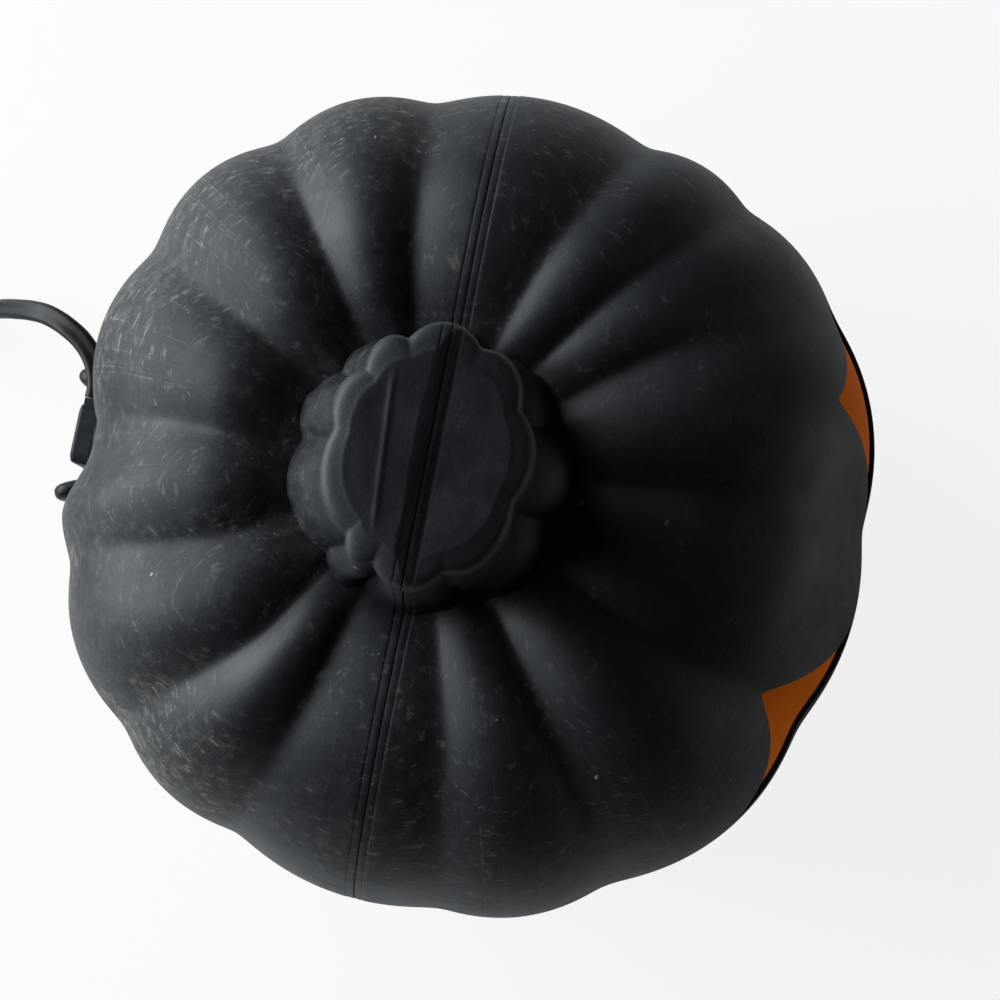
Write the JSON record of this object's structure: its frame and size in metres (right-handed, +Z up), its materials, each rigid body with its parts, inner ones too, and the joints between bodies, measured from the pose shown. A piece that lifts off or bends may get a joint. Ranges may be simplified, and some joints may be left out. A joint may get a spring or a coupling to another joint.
{
  "type": "light-up jack-o-lantern",
  "caption": "Ribbed plastic pumpkin lantern in lapped halves with a cut-out face, an orange liner behind it and a snap-in lamp with a screw bulb on a flat cord with switch and plug.",
  "frame": {"origin": "on the table, under the middle of the body", "axes": "-Y towards the carved face, +Y towards the lamp and its cord, +Z up along the stem"},
  "size_m": [0.2054, 0.4056, 0.1958],
  "materials": {
    "black_shell": "matt injection-moulded black",
    "orange_sheet": "smooth translucent orange sheet",
    "black_moulding": "satin black",
    "cord_vinyl": "satin black vinyl",
    "grey_moulding": "satin grey",
    "brass": "plain stamped sheet",
    "steel": "plain spring steel",
    "clear_glass": "clear blown glass",
    "dark_glass": "dark vitreous insulator",
    "solder": "dull solder"
  },
  "bodies": {
    "shell": {"front_shell": "black_shell", "rear_shell": "black_shell", "face_liner": "orange_sheet", "liner_washer_1": "steel", "liner_washer_2": "steel", "liner_washer_3": "steel", "liner_washer_4": "steel", "liner_washer_5": "steel"},
    "lamp": {"lamp_holder": "black_moulding", "socket_shell": "brass", "centre_contact": "brass", "shell_contact": "brass", "cord_cap": "grey_moulding", "cord_lead": "cord_vinyl", "cord_coil": "cord_vinyl", "switch_bottom": "black_moulding", "switch_top": "black_moulding", "switch_rivet": "brass", "switch_strip_1": "brass", "switch_strip_2": "brass", "plug_body": "black_moulding", "plug_blade_wide": "brass", "plug_blade_narrow": "brass"},
    "clip_right": {"clip_arm_right": "black_moulding"},
    "clip_left": {"clip_arm_left": "black_moulding"},
    "bulb_carrier": {"bulb_contact": "solder"},
    "bulb": {"bulb_glass": "clear_glass", "bulb_base": "brass", "bulb_insulator": "dark_glass", "bulb_mount": "clear_glass", "bulb_filament": "steel"},
    "switch_wheel": {"switch_wheel": "black_moulding"}
  },
  "joints": [
    {"name": "lamp_holder_pull", "type": "slide", "parent": "shell", "child": "lamp", "axis": [0, 1, 0], "range_m": [0, 0.075], "deforming": ["clip_arm_right", "clip_arm_left"]},
    {"name": "clip_right_squeeze", "type": "hinge", "parent": "lamp", "child": "clip_right", "pos_m": [0.0101, 0.0672, 0.06], "axis": [0, 0, 1], "range_deg": [0, 5.5], "stiffness_Nm_per_rad": 1.5},
    {"name": "clip_left_squeeze", "type": "hinge", "parent": "lamp", "child": "clip_left", "pos_m": [-0.0109, 0.0672, 0.06], "axis": [0, 0, -1], "range_deg": [0, 5.5], "stiffness_Nm_per_rad": 1.5},
    {"name": "bulb_advance", "type": "slide", "parent": "lamp", "child": "bulb_carrier", "axis": [0, -1, 0], "range_m": [0, 0.0077]},
    {"name": "bulb_turn", "type": "hinge", "parent": "bulb_carrier", "child": "bulb", "pos_m": [-0.0004, 0.07, 0.06], "axis": [0, -1, 0], "range_deg": [0, 1080]},
    {"name": "switch_wheel_turn", "type": "hinge", "parent": "lamp", "child": "switch_wheel", "pos_m": [0.0382, 0.2103, 0.006], "axis": [0, 0, 1], "continuous": true}
  ],
  "couplings": [
    {"joint": "clip_left_squeeze", "follows": "clip_right_squeeze", "ratio": 1},
    {"joint": "bulb_advance", "follows": "bulb_turn", "m_per_rad": 0.00040425}
  ]
}
